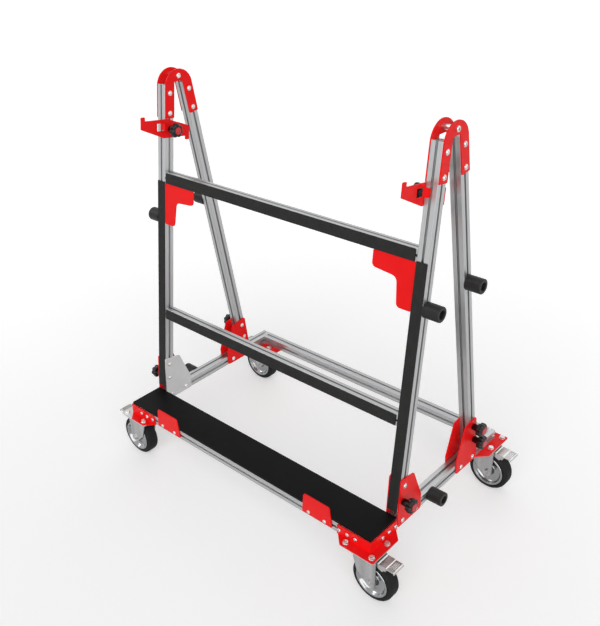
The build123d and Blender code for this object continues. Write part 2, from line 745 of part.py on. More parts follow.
def peg_seats():
    """Seats of the pegs: on each upright, each rear leg and each side rail, all outside."""
    seats = []
    for side in SIDES.values():
        seats.append(leg_seat(FRONT_LEG, side, side, PEG_RISE))
        seats.append(leg_seat(REAR_LEG, side, side, PEG_RISE))
        seats.append(seat((side * OUTER_X, PEG_RAIL_Y, RAIL_CENTRE), ALONG_Y, (side, 0, 0)))
    return seats


def strap_peg():
    """Short tube with a floor that a screw holds on a slot."""
    body = disc(PEG_D, PEG_LENGTH)
    body = fillet(body.faces().sort_by(Axis.Z)[-1].edges(), PEG_ROUND)
    body -= Pos(0, 0, PEG_FLOOR) * disc(PEG_BORE, PEG_LENGTH)
    return body - Cylinder(SCREW_HOLE_D / 2, 4 * PEG_FLOOR)


# Panel hooks and star knobs


def hook_seat(side):
    """Seat of a hook's knob on the inner slot of its upright."""
    return leg_seat(FRONT_LEG, side, -side, HOOK_RISE)


def hook_face():
    """Outline of a hook in (u, v), with the window that its tab is folded out of."""
    points = [
        (-HOOK_FRONT, HOOK_TOP + HOOK_TOOTH_RISE),
        (HOOK_TOOTH - HOOK_FRONT, HOOK_TOP + HOOK_TOOTH_RISE),
        (HOOK_TOOTH - HOOK_FRONT, HOOK_TOP),
        (HOOK_BEND_TOP, HOOK_TOP),
        (HOOK_BACK, HOOK_BACK_HIGH),
        (HOOK_BACK, -HOOK_BOTTOM - HOOK_TOOTH_RISE),
        (HOOK_BACK - HOOK_TOOTH, -HOOK_BOTTOM - HOOK_TOOTH_RISE),
        (HOOK_BACK - HOOK_TOOTH, -HOOK_BOTTOM),
        (HOOK_BEND_BOTTOM, -HOOK_BOTTOM),
        (-HOOK_FRONT, HOOK_FRONT_LOW),
    ]
    fold = -PROFILE / 2 - SLIDE_CLEARANCE
    window = Rectangle(HOOK_WINDOW_LENGTH, HOOK_WINDOW_HEIGHT, align=(Align.MAX, Align.MIN))
    return outline(points, HOOK_ROUND) - Pos(fold, HOOK_WINDOW_LOW) * window


def panel_hook(side):
    """Flat hook with teeth at both ends and a tab that keeps it square on the upright."""
    inner_x = INNER_X - SLIDE_CLEARANCE - SHEET
    plate = side_plate(hook_face(), inner_x, side)
    tab_y = -PROFILE / 2 - SLIDE_CLEARANCE
    tab = Box(SHEET + HOOK_TAB_LENGTH, SHEET, HOOK_WINDOW_HEIGHT, align=(Align.MIN, Align.MAX, Align.MIN))
    tab = Pos(inner_x, tab_y, HOOK_WINDOW_LOW) * tab
    if side < 0:
        tab = mirror(tab, about=Plane.YZ)
    shape = FRONT_LEG * Pos(0, 0, HOOK_RISE) * (plate + tab)
    return drilled(shape, [hook_seat(side)])


def star_knob(thickness):
    """Lobed knob with a stud that clamps a sheet of some thickness on a slot."""
    lobe_radius = (KNOB_D - KNOB_LOBE_D) / 2
    star = Circle(KNOB_BODY_D / 2)
    star += PolarLocations(lobe_radius, KNOB_LOBES) * Circle(KNOB_LOBE_D / 2)
    star = fillet(star.vertices(), KNOB_LOBE_D / 4)
    head = extrude(star, KNOB_HEAD_HEIGHT)
    levels = head.faces().sort_by(Axis.Z)
    head = chamfer(levels[0].edges() + levels[-1].edges(), KNOB_CHAMFER)
    head -= Pos(0, 0, KNOB_HEAD_HEIGHT - KNOB_CAP_SINK) * disc(KNOB_CAP_D, KNOB_CAP_HEIGHT)
    stem = Cone(KNOB_STEM_FOOT_D / 2, KNOB_STEM_TOP_D / 2, KNOB_STEM_HEIGHT, align=ON_BASE)
    body = Pos(0, 0, thickness) * (stem + Pos(0, 0, KNOB_STEM_HEIGHT) * head) + screw_shank(thickness)
    cap_z = thickness + KNOB_STEM_HEIGHT + KNOB_HEAD_HEIGHT - KNOB_CAP_SINK
    return body, Pos(0, 0, cap_z) * disc(KNOB_CAP_D, KNOB_CAP_HEIGHT)


# Casters, each drawn about its swivel axis with its wheel trailing along +X

FORK_INNER = WHEEL_WIDTH / 2 + FORK_GAP
FORK_OUTER = FORK_INNER + FORK_SHEET
PEDAL_PIN_Z = CROWN_TOP
AXLE_PLACE = Pos(TRAIL, 0, WHEEL_D / 2) * Rot(-90, 0, 0)
PIN_PLACE = Pos(PEDAL_PIN_X, 0, PEDAL_PIN_Z) * Rot(-90, 0, 0)
AXLE_BORE_D = AXLE_D + 2 * RUNNING_CLEARANCE
PIN_BORE_D = PEDAL_PIN_D + 2 * RUNNING_CLEARANCE


def caster_place(side, end):
    """Place of a caster on the floor, with its wheel trailing outwards."""
    turn = 0 if side > 0 else 180
    return Pos(side * CASTER_X, end * CASTER_Y, 0) * Rot(0, 0, turn)


def caster_top_plate():
    """Bolted plate with the fixed cup of the swivel head and the king pin."""
    face = RectangleRounded(CASTER_PLATE_X, CASTER_PLATE_Y, CASTER_PLATE_ROUND)
    plate = extrude(face, CASTER_PLATE_SHEET)
    bolt_hole = Cylinder(CASTER_BOLT_D / 2 + HOLE_CLEARANCE, 4 * CASTER_PLATE_SHEET)
    plate -= GridLocations(CASTER_BOLT_X, CASTER_BOLT_Y, 2, 2) * bolt_hole
    cup_height = HEAD_HEIGHT - HEAD_RING_HEIGHT - FACE_CLEARANCE
    pin_length = HEAD_HEIGHT + FORK_SHEET + FACE_CLEARANCE
    shape = Pos(0, 0, CASTER_PLATE_BOTTOM) * plate
    shape += Pos(0, 0, CASTER_PLATE_BOTTOM) * Cylinder(HEAD_CUP_D / 2, cup_height, align=HANGING)
    shape += Pos(0, 0, CASTER_PLATE_BOTTOM) * Cylinder(KING_PIN_D / 2, pin_length, align=HANGING)
    pin_end = Pos(0, 0, CASTER_PLATE_BOTTOM - pin_length)
    return shape + pin_end * Cylinder(KING_PIN_HEAD_D / 2, KING_PIN_HEAD_HEIGHT, align=HANGING)


def fork():
    """Pressed fork: crown, two legs with ears for the pedal's pin, and the turning ring of the head."""
    front = Pos(FORK_FRONT_ROUND - FORK_FRONT, CROWN_TOP - FORK_FRONT_ROUND) * Circle(FORK_FRONT_ROUND)
    belly = Pos(FORK_BELLY_X, WHEEL_D / 2 + FORK_BELLY_RISE) * Circle(FORK_BELLY_D / 2)
    ear = Pos(PEDAL_PIN_X, PEDAL_PIN_Z) * Circle(PEDAL_EAR_D / 2)
    boss = Pos(TRAIL, WHEEL_D / 2) * Circle(FORK_BOSS_D / 2)
    leg_face = make_hull(front.edges() + belly.edges() + ear.edges() + boss.edges())
    leg = extrude(Plane.XZ * leg_face, FORK_SHEET)
    crown_front = FORK_FRONT_ROUND - FORK_FRONT
    under_top = (Align.MIN, Align.CENTER, Align.MAX)
    crown = Box(CROWN_REAR - crown_front, 2 * FORK_OUTER, FORK_SHEET, align=under_top)
    shape = Pos(crown_front, 0, CROWN_TOP) * crown
    shape += Pos(0, -FORK_INNER, 0) * leg
    shape += Pos(0, FORK_OUTER, 0) * leg
    shape += Pos(0, 0, CROWN_TOP) * disc(HEAD_RING_D, HEAD_RING_HEIGHT)
    king_bore = Cylinder(KING_PIN_D / 2 + RUNNING_CLEARANCE, 4 * CROWN_TOP)
    axle_bore = AXLE_PLACE * Cylinder(AXLE_BORE_D / 2, 4 * FORK_OUTER)
    pin_bore = PIN_PLACE * Cylinder(PIN_BORE_D / 2, 4 * FORK_OUTER)
    return shape - [king_bore, axle_bore, pin_bore]


def axle():
    """Axle bolt across the fork, with its head on one side."""
    shank = Cylinder(AXLE_D / 2, 2 * FORK_OUTER + 2 * AXLE_HEAD_HEIGHT)
    head = Pos(0, 0, FORK_OUTER) * bolt_head(AXLE_HEAD_WIDTH, AXLE_HEAD_HEIGHT)
    return AXLE_PLACE * (shank + head)


def axle_nut():
    """Nut on the axle's other end."""
    nut = Pos(0, 0, -FORK_OUTER) * Rot(180, 0, 0) * bolt_head(AXLE_HEAD_WIDTH, AXLE_HEAD_HEIGHT)
    return AXLE_PLACE * (nut - Cylinder(AXLE_BORE_D / 2, 4 * FORK_OUTER))


def pedal_pin():
    """Pin between the fork's ears that the pedal turns on."""
    return PIN_PLACE * Cylinder(PEDAL_PIN_D / 2, 2 * FORK_OUTER)


def rim():
    """Wheel centre with its hub, dished down from a lip that stands just proud of the tyre."""
    hub_half = FORK_INNER - FACE_CLEARANCE
    lip_half = WHEEL_WIDTH / 2 + RIM_LIP_PROUD
    lip_edge = RIM_D / 2 - RIM_LIP_BEVEL
    right = [
        (AXLE_BORE_D / 2, hub_half),
        (HUB_D / 2, hub_half),
        (HUB_D / 2 + HUB_TAPER, WEB_THICKNESS / 2),
        (RIM_FLOOR_D / 2, WEB_THICKNESS / 2),
        (lip_edge - RIM_LIP_WIDTH, lip_half),
        (lip_edge, lip_half),
        (RIM_D / 2, lip_half - RIM_LIP_BEVEL),
    ]
    left = [(x, -z) for x, z in reversed(right)]
    section = make_face(Polyline(*right, *left, close=True))
    return AXLE_PLACE * revolve(Plane.XZ * section, Axis.Z)


def tyre():
    """Solid tyre with rounded shoulders."""
    right = [
        (RIM_D / 2, RIM_WIDTH / 2),
        (RIM_D / 2 + TYRE_BEAD, WHEEL_WIDTH / 2),
        (WHEEL_D / 2, WHEEL_WIDTH / 2),
    ]
    left = [(x, -z) for x, z in reversed(right)]
    rounds = [0, TYRE_BEAD / 3, TYRE_SHOULDER, TYRE_SHOULDER, TYRE_BEAD / 3, 0]
    section = outline(right + left, rounds)
    return AXLE_PLACE * revolve(Plane.XZ * section, Axis.Z)


def brake_pedal():
    """Lever on the fork's pin with side walls and a slotted tread; its shoe meets the tyre."""
    width = 2 * (FORK_INNER - PEDAL_SIDE_GAP)
    middle_z = PEDAL_PIN_Z + PEDAL_LIFT + PEDAL_SHEET / 2
    tread_z = middle_z - PEDAL_STEP
    end_x = PEDAL_REACH - PEDAL_SHEET / 2
    bends = [
        (PEDAL_PIN_X, middle_z + PEDAL_JOGGLE),
        (PEDAL_JOGGLE_REACH, middle_z + PEDAL_JOGGLE),
        (PEDAL_JOGGLE_REACH + PEDAL_JOGGLE, middle_z),
        (PEDAL_STEP_REACH, middle_z),
        (PEDAL_STEP_REACH + PEDAL_STEP, tread_z),
        (end_x, tread_z),
        (end_x, tread_z - PEDAL_LIP),
    ]
    sheet = trace(FilletPolyline(*bends, radius=PEDAL_BEND), PEDAL_SHEET)
    lever = extrude(Plane.XZ * sheet, width / 2, both=True)
    lever += PIN_PLACE * Cylinder(PEDAL_BARREL_D / 2, width)
    slot_length = width - 2 * PEDAL_SLOT_MARGIN
    slot = Box(PEDAL_SLOT_WIDTH, slot_length, 2 * PEDAL_SHEET, align=(Align.MAX, Align.CENTER, Align.CENTER))
    for i in range(PEDAL_SLOT_COUNT):
        lever -= Pos(end_x - PEDAL_BEND - i * PEDAL_SLOT_PITCH, 0, tread_z) * slot
    shoe = Box(SHOE_LENGTH, SHOE_WIDTH, SHOE_DEPTH, align=(Align.MIN, Align.CENTER, Align.MAX))
    lever += Pos(PEDAL_PIN_X + SHOE_NEAR, 0, middle_z) * shoe
    to_axle = Pos(TRAIL - PEDAL_PIN_X, 0, WHEEL_D / 2 - PEDAL_PIN_Z) * Rot(-90, 0, 0)
    pressed_tyre = Cylinder(WHEEL_D / 2 + BRAKE_GAP, 4 * WHEEL_WIDTH)
    lever -= Pos(PEDAL_PIN_X, 0, PEDAL_PIN_Z) * Rot(0, -BRAKE_TRAVEL, 0) * to_axle * pressed_tyre
    wall_points = [
        (PEDAL_PIN_X, middle_z),
        (PEDAL_WALL_END_REACH, middle_z),
        (PEDAL_WALL_END_REACH, middle_z - PEDAL_WALL_END_DEPTH),
        (PEDAL_WALL_REACH, middle_z - PEDAL_WALL_DEPTH),
        (PEDAL_PIN_X, PEDAL_PIN_Z - PEDAL_BARREL_D / 2),
    ]
    wall = extrude(Plane.XZ * make_face(Polyline(*wall_points, close=True)), PEDAL_WALL)
    lever += Pos(0, PEDAL_WALL - width / 2, 0) * wall
    lever += Pos(0, width / 2, 0) * wall
    return lever - PIN_PLACE * Cylinder(PIN_BORE_D / 2, 4 * FORK_OUTER)


def caster_bolt():
    """Flanged bolt down through the corner plate and the caster's top plate."""
    length = SHEET + CASTER_PLATE_SHEET + CASTER_NUT_HEIGHT + CASTER_BOLT_TAIL
    head = disc(CASTER_BOLT_FLANGE_D, CASTER_BOLT_FLANGE_HEIGHT)
    head += Pos(0, 0, CASTER_BOLT_FLANGE_HEIGHT) * bolt_head(CASTER_BOLT_HEAD_WIDTH, CASTER_BOLT_HEAD_HEIGHT)
    return head + Cylinder(CASTER_BOLT_D / 2, length, align=HANGING)


def caster_nut():
    """Nut under the caster's top plate."""
    nut = hexagon(CASTER_BOLT_HEAD_WIDTH, CASTER_NUT_HEIGHT)
    nut -= Cylinder(CASTER_BOLT_D / 2 + THREAD_CLEARANCE, 4 * CASTER_NUT_HEIGHT)
    return Pos(0, 0, -SHEET - CASTER_PLATE_SHEET - CASTER_NUT_HEIGHT) * nut


# Writing the pieces


def foot_knob_seats():
    """Named seats of the knobs on the outer foot plates: one in front, two at the rear, on each side."""
    seats = {}
    for side_name, side in SIDES.items():
        front = foot_plate_seats(side, side, -1)
        rear = foot_plate_seats(side, side, 1)
        seats[f"front_{side_name}"] = front[0]
        seats[f"rear_{side_name}_lower"] = rear[0]
        seats[f"rear_{side_name}_upper"] = rear[1]
    return seats


def flange_screw_seats():
    """Seats of the screws in the arch plates and in the foot plates, where no knob sits."""
    seats = []
    for side in SIDES.values():
        for outward in (-1, 1):
            seats += arch_seats(side, outward)
        seats += foot_plate_seats(side, -side, -1)
        seats += foot_plate_seats(side, -side, 1)
        seats += foot_plate_seats(side, side, -1)[1:]
        seats += foot_plate_seats(side, side, 1)[2:]
    return seats


def plain_screw_seats():
    """Seats of the screws in the gussets, panel stops and corner plates."""
    seats = []
    for side in SIDES.values():
        seats += gusset_seats(side)
        seats += stop_seats(side)
        for end in ENDS.values():
            seats += bracket_seats(side, end)
    return seats


def end_screw_seats():
    """Seats of the screws at both ends of the four cross rails."""
    seats = []
    for side in SIDES.values():
        for end in ENDS.values():
            y = end * (END_Y - PROFILE / 2)
            seats.append(seat((side * INNER_X, y, RAIL_CENTRE), ALONG_Y, (-side, 0, 0)))
        for rise in (MIDDLE_RAIL_RISE, UPPER_RAIL_RISE):
            seats.append(leg_seat(FRONT_LEG, side, -side, rise))
    return seats


def write_frame():
    """Profiles, board and pads."""
    rail = cross_rail()
    for side_name, side in SIDES.items():
        leg = Pos(side * SIDE_X, 0, 0) * profile(LEG_LENGTH)
        write(f"side_rail_{side_name}", side_rail(side))
        write(f"upright_{side_name}", FRONT_LEG * leg)
        write(f"rear_leg_{side_name}", REAR_LEG * leg)
        write(f"upright_pad_{side_name}", upright_pad(side))
    for end_name, end in ENDS.items():
        write(f"{end_name}_cross_rail", Pos(0, end * (END_Y - PROFILE / 2), RAIL_CENTRE) * rail)
    for name, rise in (("middle", MIDDLE_RAIL_RISE), ("upper", UPPER_RAIL_RISE)):
        write(f"{name}_cross_rail", FRONT_LEG * Pos(0, 0, rise) * rail)
        write(f"{name}_rail_pad", rail_pad(rise))
    write("platform_board", board())


def write_plates():
    """Sheet-steel plates and the strap pegs."""
    for side_name, side in SIDES.items():
        write(f"arch_plates_{side_name}", *[arch_plate(side, outward) for outward in (-side, side)])
        write(f"corner_gusset_{side_name}", gusset(side))
        write(f"panel_stop_{side_name}", panel_stop(side))
        write(f"rear_foot_plates_{side_name}", *[foot_plate(side, outward, 1) for outward in (-side, side)])
        for end_name, end in ENDS.items():
            write(f"corner_bracket_{end_name}_{side_name}", corner_bracket(side, end))
    write("corner_wing_front_left", front_left_wing())
    write("front_foot_plate_left_outer", foot_plate(-1, -1, -1))
    write("front_foot_plate_left_inner", foot_plate(-1, 1, -1))
    write("front_foot_plates_right", foot_plate(1, -1, -1), foot_plate(1, 1, -1))
    peg = strap_peg()
    write("strap_pegs", *[place * peg for place in peg_seats()])


def write_fasteners():
    """Screws, bolts, nuts and spacers."""
    wide_screw = flange_screw(SHEET)
    plain_screw = screw(SHEET)
    peg_screw = screw(PEG_FLOOR)
    screws = [place * wide_screw for place in flange_screw_seats()]
    screws += [place * plain_screw for place in plain_screw_seats()]
    screws += [place * peg_screw for place in peg_seats()]
    write("frame_screws", *screws)
    nut = slot_nut()
    nut_seats = flange_screw_seats() + plain_screw_seats() + peg_seats()
    nut_seats += foot_knob_seats().values()
    write("slot_nuts", *[place * nut for place in nut_seats])
    rail_screw = end_screw()
    write("rail_end_screws", *[place * rail_screw for place in end_screw_seats()])
    tie_pieces = []
    for side in SIDES.values():
        tie_pieces += [apex_bolt(side), apex_nut(side), apex_spacer(side)]
    write("apex_tie_bolts", *tie_pieces)
    bolt = caster_bolt()
    bolt_nut = caster_nut()
    bolts = []
    for side in SIDES.values():
        for end in ENDS.values():
            for place in caster_bolt_places(side, end):
                bolts += [place * bolt, place * bolt_nut]
    write("caster_bolts", *bolts)


def write_hooks_and_knobs():
    """Sliding hooks with their nuts, and every star knob with its cap."""
    hook_nut = slot_nut(SLIDE_CLEARANCE)
    for side_name, side in SIDES.items():
        place = hook_seat(side)
        write(f"panel_hook_{side_name}", panel_hook(side), place * hook_nut)
        pieces = star_knob(SHEET + SLIDE_CLEARANCE)
        write(f"hook_knob_{side_name}", *[place * piece for piece in pieces])
    for name, place in foot_knob_seats().items():
        write(f"foot_knob_{name}", *[place * piece for piece in star_knob(SHEET)])


def write_casters():
    """Top plates in one group; fork, wheel and pedal of each caster on their own."""
    top_plates = []
    top_plate = caster_top_plate()
    fork_pieces = [fork(), axle(), axle_nut(), pedal_pin()]
    wheel_pieces = [rim(), tyre()]
    pedal = brake_pedal()
    for side_name, side in SIDES.items():
        for end_name, end in ENDS.items():
            place = caster_place(side, end)
            corner = f"{end_name}_{side_name}"
            top_plates.append(place * top_plate)
            write(f"caster_fork_{corner}", *[place * piece for piece in fork_pieces])
            write(f"caster_wheel_{corner}", *[place * piece for piece in wheel_pieces])
            write(f"brake_pedal_{corner}", place * pedal)
    write("caster_top_plates", *top_plates)


os.makedirs("parts", exist_ok=True)
write_frame()
write_plates()
write_fasteners()
write_hooks_and_knobs()
write_casters()
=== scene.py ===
import json
import math

import bmesh
import bpy
from mathutils import Matrix, Vector


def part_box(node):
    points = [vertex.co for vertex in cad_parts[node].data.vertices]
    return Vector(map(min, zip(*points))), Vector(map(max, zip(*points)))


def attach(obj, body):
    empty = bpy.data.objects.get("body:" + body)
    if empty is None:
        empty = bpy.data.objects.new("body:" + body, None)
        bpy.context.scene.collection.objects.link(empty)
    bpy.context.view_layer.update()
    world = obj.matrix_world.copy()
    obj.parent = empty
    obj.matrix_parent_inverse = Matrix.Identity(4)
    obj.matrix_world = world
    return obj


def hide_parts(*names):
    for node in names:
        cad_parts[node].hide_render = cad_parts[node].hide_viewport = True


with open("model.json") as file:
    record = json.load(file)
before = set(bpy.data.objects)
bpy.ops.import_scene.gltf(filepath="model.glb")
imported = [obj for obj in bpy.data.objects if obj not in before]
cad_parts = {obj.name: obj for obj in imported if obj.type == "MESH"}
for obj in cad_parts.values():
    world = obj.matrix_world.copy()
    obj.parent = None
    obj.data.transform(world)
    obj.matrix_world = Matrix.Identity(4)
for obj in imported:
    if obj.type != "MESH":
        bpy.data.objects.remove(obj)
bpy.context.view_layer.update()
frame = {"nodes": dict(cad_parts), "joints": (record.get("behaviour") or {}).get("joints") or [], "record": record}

BODIES = frame["record"]["behaviour"]["bodies"]
JOINT_OF = {joint["child"]: joint for joint in frame["joints"]}
MM = 0.001
WHITE = (1, 1, 1)

# Camera, fitted to the photograph: its place in metres and its angles in radians
CAMERA_PLACE = Vector((1.783115, -1.896528, 2.123952))
CAMERA_YAW = 0.758324
CAMERA_PITCH = -0.502073
CAMERA_ROLL = -0.046124
FOCAL_PIXELS = 826.681
PHOTO_LONG_SIDE = 626
SENSOR_MM = 36.0

# Light: the surroundings, and for each lamp the direction it shines from, its spread and its strength
WORLD_COLOUR = (0.34, 0.34, 0.34)
KEY_FROM = Vector((0.60, -0.74, 0.30))
KEY_ANGLE = math.radians(80)
KEY_ENERGY = 2.75
FILL_FROM = Vector((-0.55, 0.75, 0.35))
FILL_ANGLE = math.radians(80)
FILL_ENERGY = 0.7
SHEEN_FROM = Vector((0.25, 0.65, 0.72))
SHEEN_ANGLE = math.radians(60)
SHEEN_ENERGY = 0.8
GLINT_FROM = Vector((-0.64, -0.42, 0.61))
GLINT_ANGLE = math.radians(24)
GLINT_ENERGY = 0.6

# Floor in metres: a painted shade, darkest near its middle by the trolley, pales to white with the distance from
# it
FLOOR_HALF = 30.0
FLOOR_MIDDLE = Vector((0.2, -0.6, 0))
FLOOR_NEAR = 0.6
FLOOR_FAR = 3.5
FLOOR_NEAR_PAINTED_SHADE = (0.80, 0.80, 0.80)
FLOOR_FAR_COLOUR = WHITE
FLOOR_BOUNCE_COLOUR = (0.6, 0.6, 0.6)
FLOOR_GLOW = 0.33
FLOOR_ROUGHNESS = 0.9

# Places in metres, taken from the frame: the uprights' direction, and the foot of their front faces
UP_UPRIGHT = Vector(JOINT_OF["panel_hook_right"]["axis"]).normalized()
UP_REAR_LEG = Vector((0, -UP_UPRIGHT.y, UP_UPRIGHT.z))
LEAN = math.atan2(UP_UPRIGHT.y, UP_UPRIGHT.z)
UPRIGHT_LOW, UPRIGHT_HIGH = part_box("upright_right")
PROFILE = UPRIGHT_HIGH.x - UPRIGHT_LOW.x
SIDE_X = (UPRIGHT_LOW.x + UPRIGHT_HIGH.x) / 2
FACE_FOOT = Vector((0, UPRIGHT_LOW.y, UPRIGHT_LOW.z + PROFILE * UP_UPRIGHT.y))

# Rubber pads: from here on sizes are in millimetres, and the shoulder is a share of the half width
PAD_WIDTH = 39.0
PAD_THICKNESS = 3.0
PAD_CROWN = 0.35
PAD_CROWN_STEPS = 4
PAD_SHOULDER = 0.7
PAD_SHOULDER_DROP = 0.2
PAD_EDGE_DROP = 0.4
PAD_ROUND = 1.1
PAD_ARC_STEPS = 5
PAD_END_ROUND = 0.8
PAD_STEM_WIDTH = 7.8
PAD_STEM_DEPTH = 4.5
PAD_STEM_END_ROUND = 0.2
PAD_BARB_WIDTH = 12.0
PAD_BARB_DEPTH = 2.0
PAD_BARB_ROUND = 0.4
PAD_BARB_ARC_STEPS = 3
RAIL_PAD_INSET = 6.0

# Star knobs: rings of (radius, rise) or (share of the star, rise) above the sheet that a knob clamps
FOOT_PLATE_SHEET = 4.0
HOOK_SHEET = 4.2
KNOB_LOBES = 7
KNOB_LOBE_STEPS = 12
KNOB_LOBE_POWER = 0.8
KNOB_RADIUS = 26.0
KNOB_VALLEY = 21.3
KNOB_STEPS = KNOB_LOBE_STEPS * KNOB_LOBES
KNOB_STEM = ((10.2, 0), (11.0, 0.8), (13.2, 20.0))
KNOB_HEAD = ((0.60, 21.0), (0.78, 22.2), (0.90, 23.6), (0.965, 25.4), (0.995, 28.0), (1.0, 31.0),
             (1.0, 36.0), (0.99, 38.5), (0.965, 40.8), (0.92, 42.8), (0.86, 44.4), (0.78, 45.5),
             (0.69, 46.0))
KNOB_RECESS = ((13.9, 46.0), (13.3, 45.6), (13.2, 44.5))
KNOB_CAP = ((13.0, 44.5), (13.0, 46.4), (12.6, 47.0), (11.6, 47.3), (8.0, 47.45), (4.0, 47.5))

# A knob's stud: rings of (radius, height) over the seat, with turns of thread between tip and neck
STUD_TIP = ((3.0, -9.5), (3.7, -8.8))
STUD_RADIUS = 4.0
STUD_NECK = 0.8
STUD_STEPS = 24
THREAD_START = -8.4
THREAD_TURNS = 9
THREAD_PITCH = 1.0
THREAD_ROOT = 3.6

# Wheels: half sections from the inside out, as (radius, distance from the middle, rounding)
WHEEL_STEPS = 128
TYRE_SECTION = ((62, 20, 0), (66, 22.5, 1), (68, 24, 2), (80, 24, 11))
TYRE_ARC_STEPS = 7
RIM_SECTION = ((6.1, 27.7, 0.5), (20.5, 27.7, 1.5), (22.5, 11, 4), (48, 11, 13), (55, 25.5, 1.5),
               (61, 25.5, 0.8), (62.2, 24, 0.4), (62.2, 18, 0), (64.5, 16, 0))
RIM_ARC_STEPS = 6

# Shading: where most values of a noise lie, and the angle above which an edge stays sharp
NOISE_LOW = 0.3
NOISE_HIGH = 0.7
SHARP_ANGLE = math.radians(40)


# Materials

class Graph:
    """Node graph of one material, with short calls for the nodes used here."""

    def __init__(self, name):
        self.material = bpy.data.materials.new(name)
        self.material.use_nodes = True
        self.tree = self.material.node_tree
        self.bsdf = self.tree.nodes["Principled BSDF"]
        self.place = self.node("ShaderNodeTexCoord").outputs["Object"]

    def node(self, kind):
        """New node of some kind."""
        return self.tree.nodes.new(kind)

    def set(self, **values):
        """Sets plain values on the shader's own sockets."""
        names = {"specular": "Specular IOR Level", "turn": "Anisotropic Rotation"}
        for name, value in values.items():
            self.bsdf.inputs[names.get(name, name.capitalize())].default_value = value

    def feed(self, socket, output):
        """Links an output to a socket of the shader."""
        self.tree.links.new(output, self.bsdf.inputs[socket])

    def mapped(self, scale, turn=0.0):
        """Object coordinates turned about X, then scaled."""
        turned = self.node("ShaderNodeMapping")
        turned.inputs["Rotation"].default_value = (turn, 0, 0)
        self.tree.links.new(self.place, turned.inputs["Vector"])
        scaled = self.node("ShaderNodeMapping")
        scaled.inputs["Scale"].default_value = scale
        self.tree.links.new(turned.outputs["Vector"], scaled.inputs["Vector"])
        return scaled.outputs["Vector"]

    def noise(self, scale, detail, vector=None):
        """Noise over the object's coordinates, or over others."""
        node = self.node("ShaderNodeTexNoise")
        node.inputs["Scale"].default_value = scale
        node.inputs["Detail"].default_value = detail
        self.tree.links.new(vector or self.place, node.inputs["Vector"])
        return node.outputs["Fac"]

    def spread(self, value, low, high):
        """Spreads the middle of a noise over a range."""
        node = self.node("ShaderNodeMapRange")
        node.inputs["From Min"].default_value = NOISE_LOW
        node.inputs["From Max"].default_value = NOISE_HIGH
        node.inputs["To Min"].default_value = low
        node.inputs["To Max"].default_value = high
        self.tree.links.new(value, node.inputs["Value"])
        return node.outputs["Result"]

    def blend(self, value, first, second):
        """Colour between two by a noise."""
        return self.mix(self.spread(value, 0, 1), first, second)

    def mix(self, factor, first, second):
        """Colour between two by a plain factor."""
        node = self.node("ShaderNodeMix")
        node.data_type = "RGBA"
        node.inputs["A"].default_value = (*first, 1)
        node.inputs["B"].default_value = (*second, 1)
        self.tree.links.new(factor, node.inputs["Factor"])
        return node.outputs["Result"]

    def bump(self, height, distance, edge=0.0):
        """Fine relief, over edges that look slightly rounded where an edge radius is given."""
        node = self.node("ShaderNodeBump")
        node.inputs["Distance"].default_value = distance
        self.tree.links.new(height, node.inputs["Height"])
        self.feed("Normal", node.outputs["Normal"])
        if edge:
            bevel = self.node("ShaderNodeBevel")
            bevel.inputs["Radius"].default_value = edge
            self.tree.links.new(bevel.outputs["Normal"], node.inputs["Normal"])


def red_paint():
    """Powder coat: fine orange peel and a slightly uneven gloss."""
    g = Graph("red_paint")
    g.feed("Base Color", g.blend(g.noise(scale=7, detail=3), (0.92, 0.008, 0.009), (0.86, 0.006, 0.007)))
    g.feed("Roughness", g.spread(g.noise(scale=60, detail=2), low=0.30, high=0.40))
    g.set(specular=0.15)
    g.bump(g.noise(scale=900, detail=1), distance=0.00004, edge=0.0008)
    return g.material


def aluminium(name, scale, along, turn=0.0):
    """Satin anodised profile with fine lines along its length, which draw its highlights out across it."""
    g = Graph(name)
    grain = g.node("ShaderNodeCombineXYZ")
    for axis, part in zip("XYZ", along):
        grain.inputs[axis].default_value = part
    g.feed("Tangent", grain.outputs["Vector"])
    lines = g.noise(scale=1, detail=3, vector=g.mapped(scale, turn))
    g.feed("Base Color", g.blend(lines, (0.50, 0.505, 0.51), (0.43, 0.435, 0.44)))
    g.feed("Roughness", g.spread(g.noise(scale=40, detail=3), low=0.30, high=0.40))
    g.set(metallic=0.9, anisotropic=0.7, turn=0.25)
    g.bump(lines, distance=0.00002)
    return g.material


def metal(name, colour, dull, roughness, grain, scale=(1, 1, 1)):
    """Plated or bare steel: cloudy tone and fine grain; a scale drawn out along one axis turns the tone into
    painted bands of highlight and shade.
    """
    g = Graph(name)
    tone_and_painted_bands = g.noise(scale=grain, detail=4, vector=g.mapped(scale))
    g.feed("Base Color", g.blend(tone_and_painted_bands, colour, dull))
    sheen = g.noise(scale=3 * grain, detail=3)
    g.feed("Roughness", g.spread(sheen, low=roughness - 0.06, high=roughness + 0.08))
    g.set(metallic=1.0)
    g.bump(g.noise(scale=1500, detail=1), distance=0.00001, edge=0.0006)
    return g.material


def rubber(name, colour, worn, grain):
    """Matt rubber: slightly dusty, with a fine grain."""
    g = Graph(name)
    g.feed("Base Color", g.blend(g.noise(scale=30, detail=5), colour, worn))
    g.feed("Roughness", g.spread(g.noise(scale=90, detail=3), low=0.62, high=0.8))
    g.set(specular=0.15)
    g.bump(g.noise(scale=grain, detail=2), distance=0.00006)
    return g.material


def board_film():
    """Dark film on plywood with a fine non-slip grain."""
    g = Graph("board")
    g.feed("Base Color", g.blend(g.noise(scale=5, detail=4), (0.006, 0.006, 0.006), (0.004, 0.004, 0.004)))
    g.feed("Roughness", g.spread(g.noise(scale=25, detail=3), low=0.38, high=0.5))
    g.set(specular=0.06)
    g.bump(g.noise(scale=700, detail=2), distance=0.00006)
    return g.material


